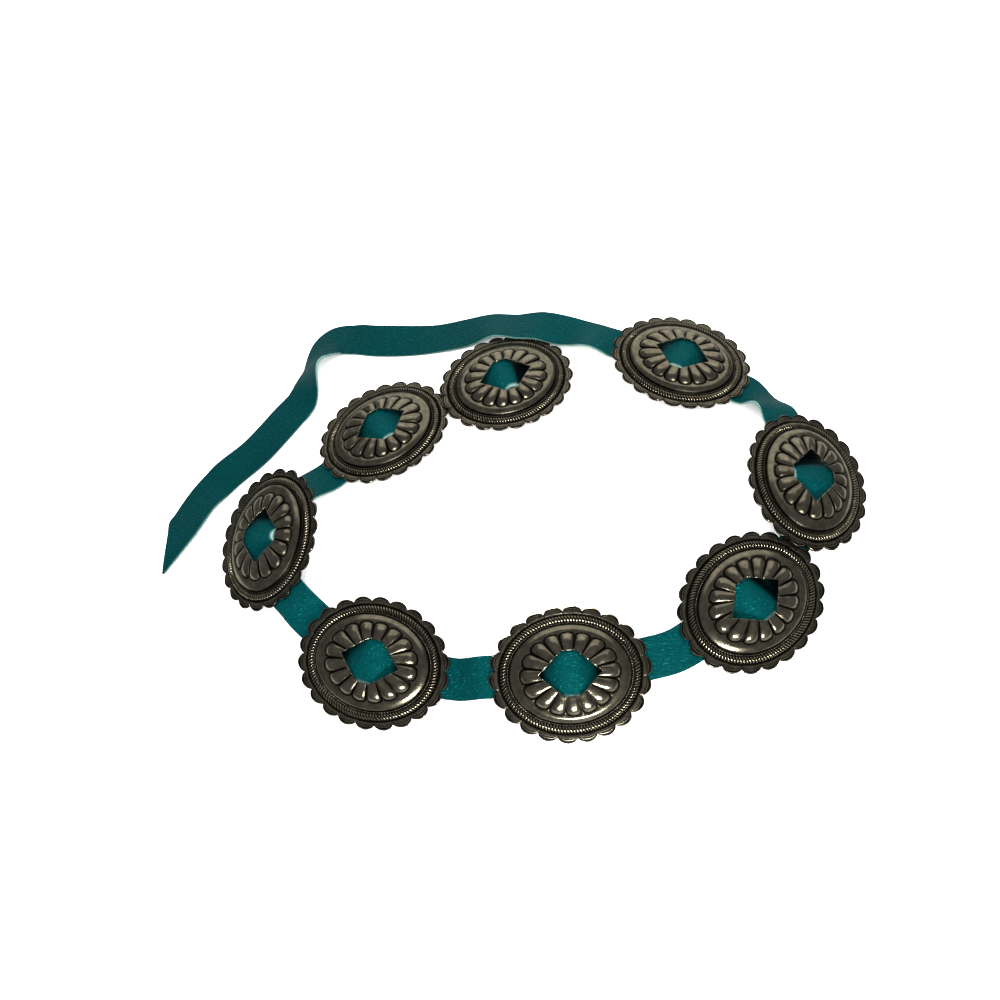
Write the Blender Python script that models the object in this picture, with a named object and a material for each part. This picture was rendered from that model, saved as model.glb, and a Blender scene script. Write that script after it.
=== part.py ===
"""Western belt: eight oval conchos threaded on one long leather strap, lying in a loop.

Units are metres and +Z is up. The floor is z = 0. Every concho is first made in its own
frame (x along the strap, y across it, z out through the dome) and then laid down by its
row in LAYOUT. The strap is one strip that follows the conchos and ends in a free tail.
"""
import math

import bmesh
import bpy
from mathutils import Matrix, Vector

# Concho sizes
CONCHO_LONG = 0.0806
CONCHO_SHORT = 0.0661
SHEET = 0.0010
DOME_RISE = 0.0070
PETAL_SWELL = 0.0009
PETALS = 16
SCALLOPS = 22
POINTS_PER_SCALLOP = 4
SCALLOP_DEPTH = 0.080
DIAMOND_LONG = 0.0312
DIAMOND_SHORT = 0.0220
DIAMOND_CAP = 0.0070
CROWN_SHARE = 0.29

# Crossbar soldered behind the diamond
BAR_WIDTH = 0.0040
BAR_THICK = 0.0014
BAR_TOP = 0.0030
BAR_LEG_THICK = 0.0016
BAR_LEG_TOP = 0.0062
BAR_LEG_OUT = 0.0026

# Strap sizes
STRAP_WIDTH = 0.0210
STRAP_THICK = 0.0018
CLEAR = 0.0003
TAIL_CUT = 0.0245
TAIL_POINT = 0.0008
STATION_STEP = 0.0045

# Rings of the concho's front, from the rim inward
# name, share of the rim along, across, rise as a share of DOME_RISE, points, share of PETAL_SWELL
FRONT_RINGS = [
    ("flange", 0.872, 0.872, 0.0, 36, 0.0),
    ("rope crest", 0.812, 0.805, 0.22, 36, 0.0),
    ("rope foot", 0.752, 0.726, 0.20, 36, 0.0),
    ("smooth band", 0.690, 0.668, 0.44, 32, 0.0),
    ("petal foot", 0.618, 0.612, 0.52, 32, 0.0),
    ("petal shoulder", 0.580, 0.574, 0.58, 32, 1.0),
    ("petal middle", 0.470, 0.470, 0.786, 32, 0.8),
]
# Rings of the concho's back, from the diamond outward
# name, share of the rim, rise as a share of DOME_RISE, points round it
BACK_RINGS = [
    ("under the petals", 0.610, 0.47, 32),
    ("under the rope", 0.790, 0.13, 32),
    ("under the flange", 0.860, 0.0, 36),
]

# Distance on the floor between the middles of concho_3 and concho_7
LOOP_SPAN = 0.2888

# Where each concho lies, in the order in which the strap threads them; x and y are in
# millimetres at a loop of this span and grow with it
# name, x, y, heading deg, outward tilt deg, nose down deg, lift mm
LAYOUT = [
    ("concho_1", 21.6, 66.7, -173.8, 1.4, -2.8, 0.1),
    ("concho_2", -54.8, 55.6, -162.3, 5.4, 0.3, 0.3),
    ("concho_3", -126.6, 2.2, -112.7, 19.4, 8.7, 0.0),
    ("concho_4", -82.5, -78.3, -31.0, 10.0, 2.8, 0.0),
    ("concho_5", 12.4, -109.3, -10.0, 13.3, 1.9, 0.0),
    ("concho_6", 108.8, -97.0, 24.2, 11.9, 0.8, 0.0),
    ("concho_7", 158.6, -43.3, 71.7, 15.6, 1.7, 0.7),
    ("concho_8", 120.9, 47.9, 141.2, 7.4, -1.2, 3.5),
]
# How the strap crosses each concho: it veers from the concho's long axis toward the loop
# and sinks below the flange, and its near edge rises in the gap that follows
# name, reach in mm, veer deg, sink mm, reach out mm, veer deg, sink mm, spread of turn mm, lean deg
THREADING = [
    ("concho_1", 32, 4.0, 1.0, 24, 0.2, 1.0, 16, 0),
    ("concho_2", 40, 6.4, 1.0, 36, 14.2, 0.7, 16, -2),
    ("concho_3", 29, 30.0, 13.0, 32, 52.4, 1.4, 100, 0),
    ("concho_4", 42, 24.8, 1.2, 41, 6.8, 1.0, 24, 0),
    ("concho_5", 41, 2.7, 1.0, 41, 8.4, 1.0, 16, 0),
    ("concho_6", 41, 7.1, 1.0, 42, 16.2, 1.0, 16, 0),
    ("concho_7", 22, 11.8, 1.0, 39, 19.9, 1.0, 16, 28),
    ("concho_8", 39, 6.2, 1.0, 30, 0.6, 1.0, 16, 0),
]
# How the strap lies over each crossbar: pushed off the middle, and how far it takes to dive
# name, push toward the loop mm, dive on the way in mm, on the way out mm
HUMPS = [
    ("concho_1", -2.2, 12, 19),
    ("concho_2", -1.1, 19, 19),
    ("concho_3", -2.2, 15, 19),
    ("concho_4", -0.2, 19, 19),
    ("concho_5", -0.1, 19, 19),
    ("concho_6", -0.4, 19, 13),
    ("concho_7", -1.2, 17, 13),
    ("concho_8", -1.2, 17, 19),
]
# Free tail, from the last concho to the cut end; x and y grow with the loop too
# x, y, lean deg (near edge raised), lift of the lower edge mm
TAIL = [
    (79.8, 79.2, 16.0, 6.0),
    (71.5, 86.0, 8.0, 4.7),
    (61.0, 93.1, -2.0, 4.5),
    (50.1, 99.6, 4.0, 4.4),
    (37.1, 104.4, 13.0, 1.2),
    (24.1, 108.6, 16.0, 2.0),
    (8.1, 110.6, 5.0, 0.8),
    (-11.0, 112.7, 2.4, 0.0),
    (-30.7, 116.7, -6.0, 0.0),
    (-49.7, 122.6, -8.0, 0.0),
    (-64.2, 129.0, -1.8, 0.0),
    (-73.0, 130.8, 8.0, 0.0),
    (-80.2, 127.0, 22.0, 0.0),
    (-85.8, 119.2, 37.0, 0.0),
    (-90.8, 110.2, 47.0, 0.0),
    (-95.0, 101.7, 28.0, 0.0),
    (-99.8, 93.4, 7.0, 0.0),
    (-109.2, 85.5, 0.0, 0.0),
    (-119.1, 77.0, 0.0, 0.0),
    (-131.0, 67.2, 0.0, 0.0),
    (-156.8, 50.8, 0.0, 0.0),
    (-164.1, 44.3, 6.0, 0.0),
    (-179.4, 26.7, 9.0, 0.0),
    (-198.3, 10.4, 2.3, 0.0),
]
MM = 0.001

# Numbers that follow from the sizes
HALF_LONG = CONCHO_LONG / 2
HALF_SHORT = CONCHO_SHORT / 2
STRAP_LOW = -1.5 * CLEAR - STRAP_THICK / 2
STRAP_HIGH = BAR_TOP + STRAP_THICK / 2 + 3 * CLEAR
FLOOR_MM = LOOP_SPAN / 288.8


def clean_scene():
    """Take away everything a new file starts with."""
    for item in list(bpy.data.objects):
        bpy.data.objects.remove(item, do_unlink=True)
    for mesh in list(bpy.data.meshes):
        bpy.data.meshes.remove(mesh)


def new_collection(name):
    group = bpy.data.collections.new(name)
    bpy.context.scene.collection.children.link(group)
    return group


def new_material(name, colour, metallic, roughness):
    material = bpy.data.materials.new(name)
    material.use_nodes = True
    shader = material.node_tree.nodes["Principled BSDF"]
    shader.inputs["Base Color"].default_value = (*colour, 1.0)
    shader.inputs["Metallic"].default_value = metallic
    shader.inputs["Roughness"].default_value = roughness
    material.diffuse_color = (*colour, 1.0)
    return material


def finish_object(bm, name, group, material):
    """Turn a bmesh into a named object with triangles facing outward."""
    bmesh.ops.recalc_face_normals(bm, faces=bm.faces)
    if bm.calc_volume(signed=True) < 0:
        bmesh.ops.reverse_faces(bm, faces=bm.faces)
    bmesh.ops.triangulate(bm, faces=bm.faces)
    mesh = bpy.data.meshes.new(name)
    bm.to_mesh(mesh)
    bm.free()
    item = bpy.data.objects.new(name, mesh)
    group.objects.link(item)
    item.data.materials.append(material)
    return item


# Concho shape in its own frame
def arc_angles(count):
    """Angles that cut the rim ellipse into pieces of equal length, starting at the strap side."""
    steps = 1440
    travelled = [0.0]
    for step in range(steps):
        middle = 2 * math.pi * (step + 0.5) / steps
        speed = math.hypot(HALF_LONG * math.sin(middle), HALF_SHORT * math.cos(middle))
        travelled.append(travelled[-1] + speed)
    angles = []
    step = 0
    for index in range(count):
        wanted = travelled[-1] * index / count
        while travelled[step + 1] < wanted:
            step += 1
        part = (wanted - travelled[step]) / (travelled[step + 1] - travelled[step])
        angles.append(2 * math.pi * (step + part) / steps)
    return angles


def on_ellipse(along, across, angle, height):
    """Point of a ring, given its shares of the rim along the strap and across it."""
    return Vector((along * HALF_LONG * math.cos(angle), across * HALF_SHORT * math.sin(angle), height))


def scallop_share(index):
    """Share of the rim reached by the outline at one of its points; a lobe stands on the axis."""
    along = ((index + POINTS_PER_SCALLOP // 2) % POINTS_PER_SCALLOP) / POINTS_PER_SCALLOP
    return 1.0 - SCALLOP_DEPTH * (1.0 - math.sin(math.pi * along) ** 0.6)


def diamond_angles():
    """Angles of the petals, the four next to the short axis moved to the diamond's cut corners."""
    slope = (DIAMOND_SHORT / HALF_SHORT) / (DIAMOND_CAP / HALF_LONG)
    corner = math.atan(slope)
    angles = arc_angles(2 * PETALS)
    quarter = PETALS // 2
    angles[quarter - 1] = corner
    angles[quarter + 1] = math.pi - corner
    angles[3 * quarter - 1] = math.pi + corner
    angles[3 * quarter + 1] = 2 * math.pi - corner
    return angles


def diamond_share(angle):
    """Share of the rim at which a spoke from the middle leaves the diamond."""
    across = HALF_SHORT * abs(math.sin(angle))
    along = HALF_LONG * abs(math.cos(angle))
    full_short = (DIAMOND_SHORT / 2) / (1 - DIAMOND_CAP / DIAMOND_LONG)
    side = 1.0 / (along / (DIAMOND_LONG / 2) + across / full_short)
    if across * side > DIAMOND_SHORT / 2:
        return DIAMOND_SHORT / 2 / across
    return side


def crown_height(share):
    """Height of the front between the petals' middle and the diamond."""
    name, along, across, rise, count, swell = FRONT_RINGS[-1]
    part = (along - share) / (along - CROWN_SHARE)
    return SHEET + DOME_RISE * (rise + (1 - rise) * part)


def rim_ring(bm, height):
    count = SCALLOPS * POINTS_PER_SCALLOP
    ring = []
    for index, angle in enumerate(arc_angles(count)):
        share = scallop_share(index)
        ring.append((angle, bm.verts.new(on_ellipse(share, share, angle, height))))
    return ring


def plain_ring(bm, along, across, height, count, swell):
    """A ring of the dome; every other point of a petal ring stands on a petal's crest."""
    ring = []
    for index, angle in enumerate(arc_angles(count)):
        raised = 0.0 if index % 2 else swell
        ring.append((angle, bm.verts.new(on_ellipse(along, across, angle, height + raised))))
    return ring


def diamond_ring(bm, drop, swell):
    ring = []
    for index, angle in enumerate(diamond_angles()):
        share = diamond_share(angle)
        height = crown_height(share) - drop + (0.0 if index % 2 else swell)
        ring.append((angle, bm.verts.new(on_ellipse(share, share, angle, height))))
    return ring


def join_rings(bm, outer, inner):
    """Fill between two rings with triangles, whatever their numbers of points."""
    a = 0
    b = 0
    full = 2 * math.pi
    while a < len(outer) or b < len(inner):
        next_a = outer[a + 1][0] if a + 1 < len(outer) else full + outer[0][0] + (a + 1 - len(outer))
        next_b = inner[b + 1][0] if b + 1 < len(inner) else full + inner[0][0] + (b + 1 - len(inner))
        here_a = outer[a % len(outer)][1]
        here_b = inner[b % len(inner)][1]
        if b >= len(inner) or (a < len(outer) and next_a <= next_b):
            bm.faces.new((here_a, outer[(a + 1) % len(outer)][1], here_b))
            a += 1
        else:
            bm.faces.new((here_a, inner[(b + 1) % len(inner)][1], here_b))
            b += 1


def build_shell():
    """The stamped sheet: one closed skin that runs rim, front, diamond, back, rim."""
    bm = bmesh.new()
    rings = [rim_ring(bm, 0.0), rim_ring(bm, SHEET)]
    for name, along, across, rise, count, swell in FRONT_RINGS:
        height = SHEET + rise * DOME_RISE
        rings.append(plain_ring(bm, along, across, height, count, swell * PETAL_SWELL))
    rings.append(diamond_ring(bm, 0.0, 0.5 * PETAL_SWELL))
    rings.append(diamond_ring(bm, SHEET, 0.0))
    for name, share, rise, count in BACK_RINGS:
        rings.append(plain_ring(bm, share, share, rise * DOME_RISE, count, 0.0))
    rings.append(rings[0])
    for outer, inner in zip(rings, rings[1:]):
        join_rings(bm, outer, inner)
    return bm


def build_bar():
    """The crossbar: a low bridge across the short way of the diamond, with two legs."""
    leg_inner = DIAMOND_SHORT / 2 + BAR_LEG_OUT
    leg_outer = leg_inner + BAR_LEG_THICK
    bottom = BAR_TOP - BAR_THICK
    side = [
        (-leg_outer, BAR_LEG_TOP),
        (-leg_outer, bottom),
        (leg_outer, bottom),
        (leg_outer, BAR_LEG_TOP),
        (leg_inner, BAR_LEG_TOP),
        (leg_inner, BAR_TOP),
        (-leg_inner, BAR_TOP),
        (-leg_inner, BAR_LEG_TOP),
    ]
    bm = bmesh.new()
    near = [bm.verts.new((-BAR_WIDTH / 2, y, z)) for y, z in side]
    far = [bm.verts.new((BAR_WIDTH / 2, y, z)) for y, z in side]
    bm.faces.new(near)
    bm.faces.new(list(reversed(far)))
    for index in range(len(side)):
        after = (index + 1) % len(side)
        bm.faces.new((near[index], far[index], far[after], near[after]))
    return bm


def solder(shell, bar):
    """Join the crossbar to the sheet, so that a concho is one piece of metal."""
    union = shell.modifiers.new("solder", "BOOLEAN")
    union.operation = "UNION"
    union.solver = "EXACT"
    union.object = bar
    view = bpy.context.evaluated_depsgraph_get()
    joined = bpy.data.meshes.new_from_object(shell.evaluated_get(view))
    shell.modifiers.clear()
    return joined


# Laying the conchos down
def turned(heading, tilt, nose):
    """Turn of a concho: heading of the strap, lean outward, then nose down."""
    about_z = Matrix.Rotation(math.radians(heading), 4, "Z")
    about_x = Matrix.Rotation(math.radians(tilt), 4, "X")
    about_y = Matrix.Rotation(math.radians(nose), 4, "Y")
    return about_z @ about_x @ about_y


def side_paths(threading):
    """The strap's way in and way out of a concho: signed reach, slope there, sink and so on."""
    name, reach_in, veer_in, sink_in, reach_out, veer_out, sink_out, spread, lean = threading
    push, dive_in, dive_out = next(row[1:] for row in HUMPS if row[0] == name)
    ways = [(-reach_in, veer_in, sink_in, dive_in), (reach_out, veer_out, sink_out, dive_out)]
    paths = []
    for reach, veer, sink, dive in ways:
        slope = math.tan(math.radians(veer))
        paths.append((reach * MM, slope, sink * MM, spread * MM, push * MM, dive * MM))
    return paths


def in_concho(x, path):
    """Middle of the strap at x along the concho's axis: over the bar, under the flange."""
    reach, slope, sink, spread, push, dive = path
    y = slope * math.hypot(reach, spread) / abs(reach) * (math.hypot(x, spread) - spread)
    t = min(1.0, abs(x) / HALF_LONG)
    y += push * (1 - t * t * (3 - 2 * t))
    if abs(x) < dive:
        down = max(0.0, (abs(x) - BAR_WIDTH / 2) / (dive - BAR_WIDTH / 2))
        z = STRAP_LOW + (STRAP_HIGH - STRAP_LOW) * 0.5 * (1 + math.cos(math.pi * down))
    else:
        t = min(1.0, (abs(x) - dive) / (HALF_LONG - dive))
        z = STRAP_LOW - sink * t * t * (3 - 2 * t)
    return Vector((x, y, z))


def resting_height(turn, crossings):
    """Height at which the lowest point of the rim or of the strap under it meets the floor."""
    lowest = 0.0
    for index, angle in enumerate(arc_angles(SCALLOPS * POINTS_PER_SCALLOP)):
        share = scallop_share(index)
        point = turn @ on_ellipse(share, share, angle, 0.0)
        lowest = min(lowest, point.z)
    for path in crossings:
        for side in (-1, 1):
            edge = Vector((0, side * STRAP_WIDTH / 2, -STRAP_THICK / 2))
            corner = turn @ (in_concho(path[0], path) + edge)
            lowest = min(lowest, corner.z)
    return -lowest


def pose_of(place, threading):
    name, x, y, heading, tilt, nose, lift = place
    turn = turned(heading, tilt, nose)
    height = resting_height(turn, side_paths(threading)) + lift * MM
    return Matrix.Translation((x * FLOOR_MM, y * FLOOR_MM, height)) @ turn


# Strap path
def through_concho(pose, threading):
    """Stations of the strap from one side of a concho to the other."""
    stations = []
    for path in side_paths(threading):
        reach = path[0]
        steps = max(4, round(abs(reach) / STATION_STEP))
        half = []
        for step in range(steps + 1):
            x = reach * step / steps
            half.append((pose @ in_concho(x, path), pose.to_3x3() @ Vector((0, 0, 1))))
        if reach < 0:
            stations = list(reversed(half))
        else:
            stations += half[1:]
    return stations


def crossing(pose, path):
    """Point and direction of the strap at the reach of its way in or out."""
    reach = path[0]
    ahead = in_concho(reach + 0.0005, path) - in_concho(reach - 0.0005, path)
    return pose @ in_concho(reach, path), (pose.to_3x3() @ ahead).normalized()


def blend(start, start_pull, end, end_pull, t):
    """Cubic between two points with the given pulls."""
    a = 2 * t ** 3 - 3 * t ** 2 + 1
    b = t ** 3 - 2 * t ** 2 + t
    c = 3 * t ** 2 - 2 * t ** 3
    d = t ** 3 - t ** 2
    return start * a + start_pull * b + end * c + end_pull * d


def between_conchos(first, first_threading, second, second_threading):
    """Stations of the strap from under one flange to under the next."""
    path_out = side_paths(first_threading)[1]
    path_in = side_paths(second_threading)[0]
    start, start_way = crossing(first, path_out)
    end, end_way = crossing(second, path_in)
    lean = first_threading[-1]
    span = (end - start).length
    along = (end - start).normalized()
    start_up = first.to_3x3() @ Vector((0, 0, 1))
    end_up = second.to_3x3() @ Vector((0, 0, 1))
    steps = max(4, round(span / 0.004))
    stations = []
    for step in range(1, steps):
        t = step / steps
        place = blend(start, start_way * span, end, end_way * span, t)
        up = start_up.lerp(end_up, t * t * (3 - 2 * t)).normalized()
        up = Matrix.Rotation(math.radians(lean) * math.sin(math.pi * t) ** 2, 3, along) @ up
        stations.append((place, up))
    return stations


def slopes(marks, values):
    """Slope at each mark of a curve through the values, weighted by the shorter side."""
    steps = [b - a for a, b in zip(marks, marks[1:])]
    rates = [(b - a) / step for a, b, step in zip(values, values[1:], steps)]
    inner = []
    for index in range(len(rates) - 1):
        left, right = steps[index], steps[index + 1]
        inner.append((rates[index] * right + rates[index + 1] * left) / (left + right))
    return [rates[0]] + inner + [rates[-1]]


def sample(marks, values, pulls, index, t):
    step = marks[index + 1] - marks[index]
    return blend(values[index], pulls[index] * step, values[index + 1], pulls[index + 1] * step, t)


def tail_stations(last_pose, threading):
    """Stations of the free tail: a curve through the rows of TAIL, leaning as they say."""
    last_lean = LAYOUT[-1][4]
    rows = []
    path = side_paths(threading)[1]
    for x in (path[0], HALF_LONG + 0.001):
        place = last_pose @ in_concho(x, path)
        rows.append((place.x, place.y, last_lean, place.z))
    for x, y, lean, lift in TAIL:
        raised = abs(math.sin(math.radians(lean))) * STRAP_WIDTH / 2 + STRAP_THICK / 2
        rows.append((x * FLOOR_MM, y * FLOOR_MM, lean, lift * MM + raised))
    marks = [0.0]
    for before, after in zip(rows, rows[1:]):
        marks.append(marks[-1] + math.hypot(after[0] - before[0], after[1] - before[1]))
    places = [Vector((row[0], row[1], row[3])) for row in rows]
    leans = [math.radians(row[2]) for row in rows]
    place_pulls = slopes(marks, places)
    lean_pulls = slopes(marks, leans)
    stations = []
    for index in range(len(rows) - 1):
        steps = max(2, round((marks[index + 1] - marks[index]) / 0.006))
        for step in range(steps + (index == len(rows) - 2)):
            t = step / steps
            place = sample(marks, places, place_pulls, index, t)
            ahead = sample(marks, places, place_pulls, index, t + 0.01) - place
            lean = sample(marks, leans, lean_pulls, index, t)
            left = Vector((-ahead.y, ahead.x, 0)).normalized()
            stations.append((place, Vector((0, 0, math.cos(lean))) - left * math.sin(lean)))
    return stations


def strap_stations(poses):
    """All stations of the strap, from its hidden end to the cut of its tail."""
    stations = []
    for index, threading in enumerate(THREADING):
        stations += through_concho(poses[index], threading)
        if index + 1 < len(THREADING):
            stations += between_conchos(poses[index], threading, poses[index + 1], THREADING[index + 1])
    return stations + tail_stations(poses[-1], THREADING[-1])[1:]


def strap_sections(stations):
    """Four corners at every station, square to the path and never below the floor."""
    places = [place for place, up in stations]
    lengths = [0.0]
    for before, after in zip(places, places[1:]):
        lengths.append(lengths[-1] + (after - before).length)
    sections = []
    for index, (place, up) in enumerate(stations):
        before = places[max(index - 1, 0)]
        after = places[min(index + 1, len(places) - 1)]
        along = (after - before).normalized()
        side = up.cross(along).normalized()
        up = along.cross(side).normalized()
        left = STRAP_WIDTH / 2
        to_end = lengths[-1] - lengths[index]
        cut = min(1.0, to_end / TAIL_CUT)
        right = (STRAP_WIDTH - TAIL_POINT) * cut + TAIL_POINT - left
        half = up * (STRAP_THICK / 2)
        corners = [
            place + side * left + half,
            place - side * right + half,
            place - side * right - half,
            place + side * left - half,
        ]
        sink = min(0.0, min(corner.z for corner in corners))
        sections.append([corner - Vector((0, 0, sink)) for corner in corners])
    return sections, lengths[-1]


def build_strap(sections):
    bm = bmesh.new()
    rings = [[bm.verts.new(corner) for corner in section] for section in sections]
    for before, after in zip(rings, rings[1:]):
        for index in range(4):
            following = (index + 1) % 4
            bm.faces.new((before[index], before[following], after[following], after[index]))
    bm.faces.new(list(reversed(rings[0])))
    bm.faces.new(rings[-1])
    return bm


def main():
    clean_scene()
    belt = new_collection("western_belt")
    cutters = new_collection("cutters")
    silver = new_material("antique_silver", (0.42, 0.38, 0.32), 1.0, 0.38)

    shell = finish_object(build_shell(), "shell_blank", cutters, silver)
    bar = finish_object(build_bar(), "bar_blank", cutters, silver)
    concho_mesh = solder(shell, bar)
    for blank in (shell, bar):
        bpy.data.objects.remove(blank, do_unlink=True)

    poses = [pose_of(place, threading) for place, threading in zip(LAYOUT, THREADING)]
    for row, pose in zip(LAYOUT, poses):
        metal = new_material("silver_" + row[0], (0.42, 0.38, 0.32), 1.0, 0.38)
        bm = bmesh.new()
        bm.from_mesh(concho_mesh)
        bm.transform(pose)
        finish_object(bm, row[0], belt, metal)

    leather = new_material("teal_leather", (0.01, 0.11, 0.12), 0.0, 0.5)
    sections, length = strap_sections(strap_stations(poses))
    finish_object(build_strap(sections), "strap", belt, leather)
    print("strap length along its middle, m:", round(length, 4))
    for item in belt.objects:
        print(item.name, len(item.data.polygons), "triangles")


main()
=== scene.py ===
# %% [markdown]
# # A concho belt on teal leather
# The belt lies in a loop on a pale table: eight stamped silver conchos, threaded on one long
# leather strap whose free end runs out to the left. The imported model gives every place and
# size. This lesson dresses it: each plain solid is replaced by a detailed piece that stands in
# the same place.

# %% The fixed frame
import math
from itertools import permutations

import bmesh
import bpy
import numpy as np
from mathutils import Matrix, Vector


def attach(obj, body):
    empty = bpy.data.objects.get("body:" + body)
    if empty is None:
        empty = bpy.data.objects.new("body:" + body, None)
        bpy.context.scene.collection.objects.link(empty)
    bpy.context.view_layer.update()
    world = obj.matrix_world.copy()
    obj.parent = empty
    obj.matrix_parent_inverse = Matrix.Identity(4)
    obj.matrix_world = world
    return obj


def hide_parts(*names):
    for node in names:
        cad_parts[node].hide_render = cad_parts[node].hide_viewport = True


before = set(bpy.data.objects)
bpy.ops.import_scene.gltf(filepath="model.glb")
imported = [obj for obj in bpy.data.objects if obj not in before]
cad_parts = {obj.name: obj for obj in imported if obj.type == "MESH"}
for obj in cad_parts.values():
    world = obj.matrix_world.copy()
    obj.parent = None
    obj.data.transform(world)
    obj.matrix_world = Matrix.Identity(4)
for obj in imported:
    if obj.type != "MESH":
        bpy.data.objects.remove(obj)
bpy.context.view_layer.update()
MM = 0.001
print("nodes:", ", ".join(sorted(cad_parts)))

# %% [markdown]
# ## Where the belt is seen from
# The belt is seen from the front, about 64 degrees above the table and close by, so near
# conchos look larger than far ones. A camera could be aimed at a point with a constraint. Here
# it is turned like a real one on its tripod: tipped up from straight down, then rolled a little
# about its own line of sight.

# %% Camera
EYE = Vector((0.0006, -0.1985, 0.39987))
EYE_TIP = 25.8713
EYE_ROLL = -14.5725
LENS_MM = 28.78
FILM_MM = 36.0

lens = bpy.data.cameras.new("eye")
lens.lens = LENS_MM
lens.sensor_width = FILM_MM
lens.clip_start = 0.01
eye = bpy.data.objects.new("eye", lens)
eye.matrix_world = (Matrix.Translation(EYE) @ Matrix.Rotation(math.radians(EYE_TIP), 4, "X")
                    @ Matrix.Rotation(math.radians(EYE_ROLL), 4, "Z"))
bpy.context.scene.collection.objects.link(eye)
bpy.context.scene.camera = eye
print("camera height:", round(EYE.z, 3), "m")

# %% [markdown]
# ## Table
# The table is one white sheet. A photographer would overexpose it until no shadow is left,
# but then its light would fill every groove of the silver from below. So it is bright only to
# the eye: a Light Path node gives the full white to camera rays and a dim grey to all others.

# %% Table
TABLE_HALF = 1.4
TABLE_HEIGHT = -0.2 * MM
PAPER_DIM = 0.22
PAPER_WHITE = 2.2


def seen_directly(tree, dim, full):
    """A value that is full where the eye looks at a surface, and dim where it lights others."""
    path = tree.nodes.new("ShaderNodeLightPath")
    level = tree.nodes.new("ShaderNodeMapRange")
    level.inputs["To Min"].default_value = dim
    level.inputs["To Max"].default_value = full
    tree.links.new(path.outputs["Is Camera Ray"], level.inputs["Value"])
    return level.outputs[0]


sheet = bpy.data.meshes.new("table")
sheet_corners = [(x * TABLE_HALF, y * TABLE_HALF, TABLE_HEIGHT)
                 for x, y in ((-1, -1), (1, -1), (1, 1), (-1, 1))]
sheet.from_pydata(sheet_corners, [], [(0, 1, 2, 3)])
table = bpy.data.objects.new("table", sheet)
bpy.context.scene.collection.objects.link(table)
table_white = bpy.data.materials.new("table_white")
table_white.use_nodes = True
paper = table_white.node_tree.nodes["Principled BSDF"]
paper.inputs["Roughness"].default_value = 0.9
paper.inputs["Emission Color"].default_value = (1.0, 1.0, 1.0, 1.0)
paper.inputs["Emission Strength"].default_value = 0.15
paper.inputs["Specular IOR Level"].default_value = 0.1
paper_level = seen_directly(table_white.node_tree, PAPER_DIM, PAPER_WHITE)
table_white.node_tree.links.new(paper_level, paper.inputs["Base Color"])
sheet.materials.append(table_white)
print("table:", 2 * TABLE_HALF, "m square")

# %% [markdown]
# ## Light
# Polished metal shows what stands round it, so each light is placed for its reflection. A
# small softbox low in front gives the bright lower ends of the petals and the streak on the
# near side of each band. A wall behind lightens the domes that are seen flatter, and a low
# strip far behind it edges the rims. A wide ceiling panel lights the leather and the table; it
# is hidden from reflections, because a glare of that size would wash out the stamped work.

# %% Softboxes
WARM_WHITE = (1.0, 0.94, 0.87)
# name, place, point that it looks at, width and height in m, power in W, colour
SOFTBOXES = [
    ("front_box", (0.01, -0.46, 0.26), (0, -0.02, 0), 0.17, 0.11, 1.5, (1.0, 0.96, 0.90)),
    ("back_wall", (0.55, 1.25, 1.20), (0.10, 0, 0), 2.2, 2.0, 5.3, WARM_WHITE),
    ("far_low", (0.45, 1.60, 0.24), (0.10, 0, 0.05), 2.4, 0.42, 1.5, WARM_WHITE),
    ("ceiling", (0.0, 0.1, 1.7), (0, 0, 0), 2.6, 2.6, 62, (1.0, 1.0, 1.0)),
]
for name, place, aim, wide, high, watts, colour in SOFTBOXES:
    lamp = bpy.data.lights.new(name, "AREA")
    lamp.shape = "RECTANGLE"
    lamp.size = wide
    lamp.size_y = high
    lamp.energy = watts
    lamp.color = colour
    softbox = bpy.data.objects.new(name, lamp)
    softbox.location = place
    softbox.rotation_euler = (Vector(aim) - Vector(place)).to_track_quat("-Z", "Y").to_euler()
    softbox.visible_glossy = name != "ceiling"
    bpy.context.scene.collection.objects.link(softbox)
print("softboxes:", len(SOFTBOXES))

# %% Room
ROOM_DIM = 0.09
ROOM_WHITE = 1.05
room = bpy.data.worlds.new("room")
room.use_nodes = True
backdrop = room.node_tree.nodes["Background"]
backdrop.inputs["Color"].default_value = (0.97, 0.98, 1.0, 1.0)
room_level = seen_directly(room.node_tree, ROOM_DIM, ROOM_WHITE)
room.node_tree.links.new(room_level, backdrop.inputs["Strength"])
bpy.context.scene.world = room
bpy.context.scene.view_settings.view_transform = "Standard"
print("world:", room.name)

# %% [markdown]
# ## Shape of a concho
# A concho is a disc of silver, stamped in steel dies: a scalloped rim with nested arcs, a
# rope border, a polished swelling band, and sixteen petals round a diamond-shaped window.
# It could be sculpted or displaced, but the dies cut round an oval, so rings of points
# are the natural way: each ring has a share of the oval's size and a height. First come the
# sizes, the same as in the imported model, and the silver's section from the rim to the window.

# %% Sizes of a concho
HALF_LONG = 40.3 * MM
HALF_SHORT = 33.05 * MM
MEAN_HALF = (HALF_LONG + HALF_SHORT) / 2
SHEET_MM = 1.0
SCALLOPS = 22
SCALLOP_DEPTH = 0.080
SCALLOP_SHIFT = 0.9 * MM
STRANDS = 124
PETALS = 16
WINDOW_LONG = 15.6 * MM
WINDOW_SHORT = 11.0 * MM
WINDOW_CAP = 3.5 * MM
print("concho:", round(2 * HALF_LONG / MM, 1), "x", round(2 * HALF_SHORT / MM, 1), "mm")

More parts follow.
